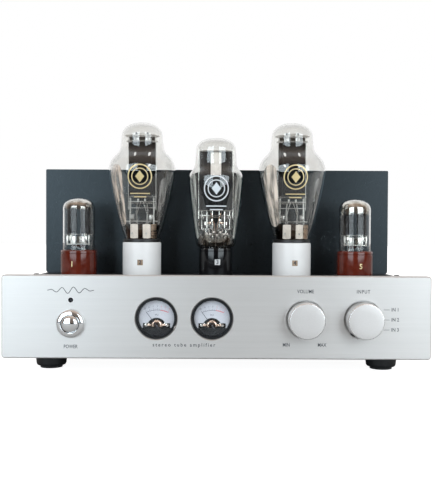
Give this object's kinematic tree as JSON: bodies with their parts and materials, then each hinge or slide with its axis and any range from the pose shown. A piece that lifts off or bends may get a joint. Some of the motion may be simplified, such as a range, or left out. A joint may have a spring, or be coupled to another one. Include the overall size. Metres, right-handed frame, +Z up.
{
  "type": "tube amplifier",
  "caption": "Stereo tube amplifier: low chassis with a thick brushed front panel, round meters and knobs, exposed plug-in tubes and a box cover over the transformers.",
  "frame": {"origin": "centre of the whole amplifier in plan, at the height the feet stand on", "axes": "+X to the right along the front panel, +Y from the front panel to the connectors, +Z up"},
  "size_m": [0.35, 0.33, 0.2167],
  "materials": {
    "panel": "brushed, clear anodised",
    "chassis_paint": "fine satin powder coat",
    "cover_paint": "gloss blue-black",
    "foot": "moulded satin black",
    "pad": "matt",
    "screw": "black oxide",
    "transformer": "varnished laminations and winding",
    "board": "green solder mask",
    "capacitor": "dark blue sleeve",
    "control_body": "zinc plated",
    "bezel": "polished",
    "led": "dark lens, unlit",
    "meter_black": "gloss black",
    "dial": "pale blue-white print",
    "lens": "clear flat window",
    "socket": "matt steatite",
    "inlet": "moulded black",
    "gold": "gold plated",
    "knob": "turned and brushed",
    "button": "polished",
    "needle": "black paint",
    "fuse_drawer": "moulded black",
    "cap_black": "clear-coated black",
    "cap_red": "clear-coated red",
    "tube_glass": "blown glass",
    "ceramic_base": "white glaze",
    "rectifier_base": "black bakelite",
    "driver_base": "red-brown bakelite",
    "pin": "nickel plated",
    "black_anode": "carbonised nickel",
    "grey_anode": "carbonised nickel, grey",
    "cage": "nickel rods, mica and glass stem"
  },
  "bodies": {
    "chassis": {"front_panel": "panel", "chassis_frame": "chassis_paint", "top_plate": "chassis_paint", "bottom_plate": "chassis_paint", "feet": "foot", "foot_pads": "pad", "screws": "screw", "transformer_cover": "cover_paint", "power_transformer": "transformer", "output_transformer_left": "transformer", "output_transformer_right": "transformer", "choke": "transformer", "circuit_board": "board", "capacitors": "capacitor", "volume_pot": "control_body", "selector_switch": "control_body", "power_bezel": "bezel", "status_led": "led", "meter_housings": "meter_black", "meter_dials": "dial", "meter_lenses": "lens", "sockets_four_pin": "socket", "sockets_octal": "socket", "mains_inlet": "inlet", "input_jacks": "gold", "speaker_posts": "gold"},
    "volume_knob_body": {"volume_knob": "knob"},
    "input_knob_body": {"input_knob": "knob"},
    "power_button_body": {"power_button": "button"},
    "left_needle_body": {"left_needle": "needle"},
    "right_needle_body": {"right_needle": "needle"},
    "fuse_drawer_body": {"fuse_drawer": "fuse_drawer"},
    "post_cap_1_body": {"post_cap_1": "cap_black"},
    "post_cap_2_body": {"post_cap_2": "cap_red"},
    "post_cap_3_body": {"post_cap_3": "cap_red"},
    "post_cap_4_body": {"post_cap_4": "cap_black"},
    "post_cap_5_body": {"post_cap_5": "cap_red"},
    "post_cap_6_body": {"post_cap_6": "cap_red"},
    "power_tube_left": {"power_tube_left_glass": "tube_glass", "power_tube_left_base": "ceramic_base", "power_tube_left_pins": "pin", "power_tube_left_anode": "black_anode", "power_tube_left_cage": "cage"},
    "driver_left": {"driver_left_glass": "tube_glass", "driver_left_base": "driver_base", "driver_left_electrodes": "grey_anode"},
    "power_tube_right": {"power_tube_right_glass": "tube_glass", "power_tube_right_base": "ceramic_base", "power_tube_right_pins": "pin", "power_tube_right_anode": "black_anode", "power_tube_right_cage": "cage"},
    "driver_right": {"driver_right_glass": "tube_glass", "driver_right_base": "driver_base", "driver_right_electrodes": "grey_anode"},
    "rectifier": {"rectifier_glass": "tube_glass", "rectifier_base": "rectifier_base", "rectifier_pins": "pin", "rectifier_anodes": "grey_anode", "rectifier_cage": "cage"}
  },
  "joints": [
    {"name": "volume_turn", "type": "hinge", "parent": "chassis", "child": "volume_knob_body", "pos_m": [0.0725, -0.15, 0.0466], "axis": [0, 1, 0], "range_deg": [-150, 150]},
    {"name": "input_turn", "type": "hinge", "parent": "chassis", "child": "input_knob_body", "pos_m": [0.1195, -0.15, 0.0466], "axis": [0, 1, 0], "range_deg": [-30, 30]},
    {"name": "power_button_press", "type": "slide", "parent": "chassis", "child": "power_button_body", "axis": [0, 1, 0], "range_m": [0, 0.003], "stiffness_N_per_m": 600},
    {"name": "left_needle_swing", "type": "hinge", "parent": "chassis", "child": "left_needle_body", "pos_m": [-0.049, -0.15, 0.0407], "axis": [0, 1, 0], "range_deg": [0, 74], "stiffness_Nm_per_rad": 0.0001},
    {"name": "right_needle_swing", "type": "hinge", "parent": "chassis", "child": "right_needle_body", "pos_m": [-0.0035, -0.15, 0.0407], "axis": [0, 1, 0], "range_deg": [0, 74], "stiffness_Nm_per_rad": 0.0001},
    {"name": "fuse_drawer_slide", "type": "slide", "parent": "chassis", "child": "fuse_drawer_body", "axis": [0, 1, 0], "range_m": [0, 0.018]},
    {"name": "post_cap_1_unscrew", "type": "slide", "parent": "chassis", "child": "post_cap_1_body", "axis": [0, 1, 0], "range_m": [0, 0.005]},
    {"name": "post_cap_2_unscrew", "type": "slide", "parent": "chassis", "child": "post_cap_2_body", "axis": [0, 1, 0], "range_m": [0, 0.005]},
    {"name": "post_cap_3_unscrew", "type": "slide", "parent": "chassis", "child": "post_cap_3_body", "axis": [0, 1, 0], "range_m": [0, 0.005]},
    {"name": "post_cap_4_unscrew", "type": "slide", "parent": "chassis", "child": "post_cap_4_body", "axis": [0, 1, 0], "range_m": [0, 0.005]},
    {"name": "post_cap_5_unscrew", "type": "slide", "parent": "chassis", "child": "post_cap_5_body", "axis": [0, 1, 0], "range_m": [0, 0.005]},
    {"name": "post_cap_6_unscrew", "type": "slide", "parent": "chassis", "child": "post_cap_6_body", "axis": [0, 1, 0], "range_m": [0, 0.005]},
    {"name": "power_tube_left_pull", "type": "slide", "parent": "chassis", "child": "power_tube_left", "axis": [0, 0, 1], "range_m": [0, 0.03]},
    {"name": "power_tube_right_pull", "type": "slide", "parent": "chassis", "child": "power_tube_right", "axis": [0, 0, 1], "range_m": [0, 0.03]},
    {"name": "rectifier_pull", "type": "slide", "parent": "chassis", "child": "rectifier", "axis": [0, 0, 1], "range_m": [0, 0.03]},
    {"name": "driver_left_pull", "type": "slide", "parent": "chassis", "child": "driver_left", "axis": [0, 0, 1], "range_m": [0, 0.03]},
    {"name": "driver_right_pull", "type": "slide", "parent": "chassis", "child": "driver_right", "axis": [0, 0, 1], "range_m": [0, 0.03]}
  ]
}
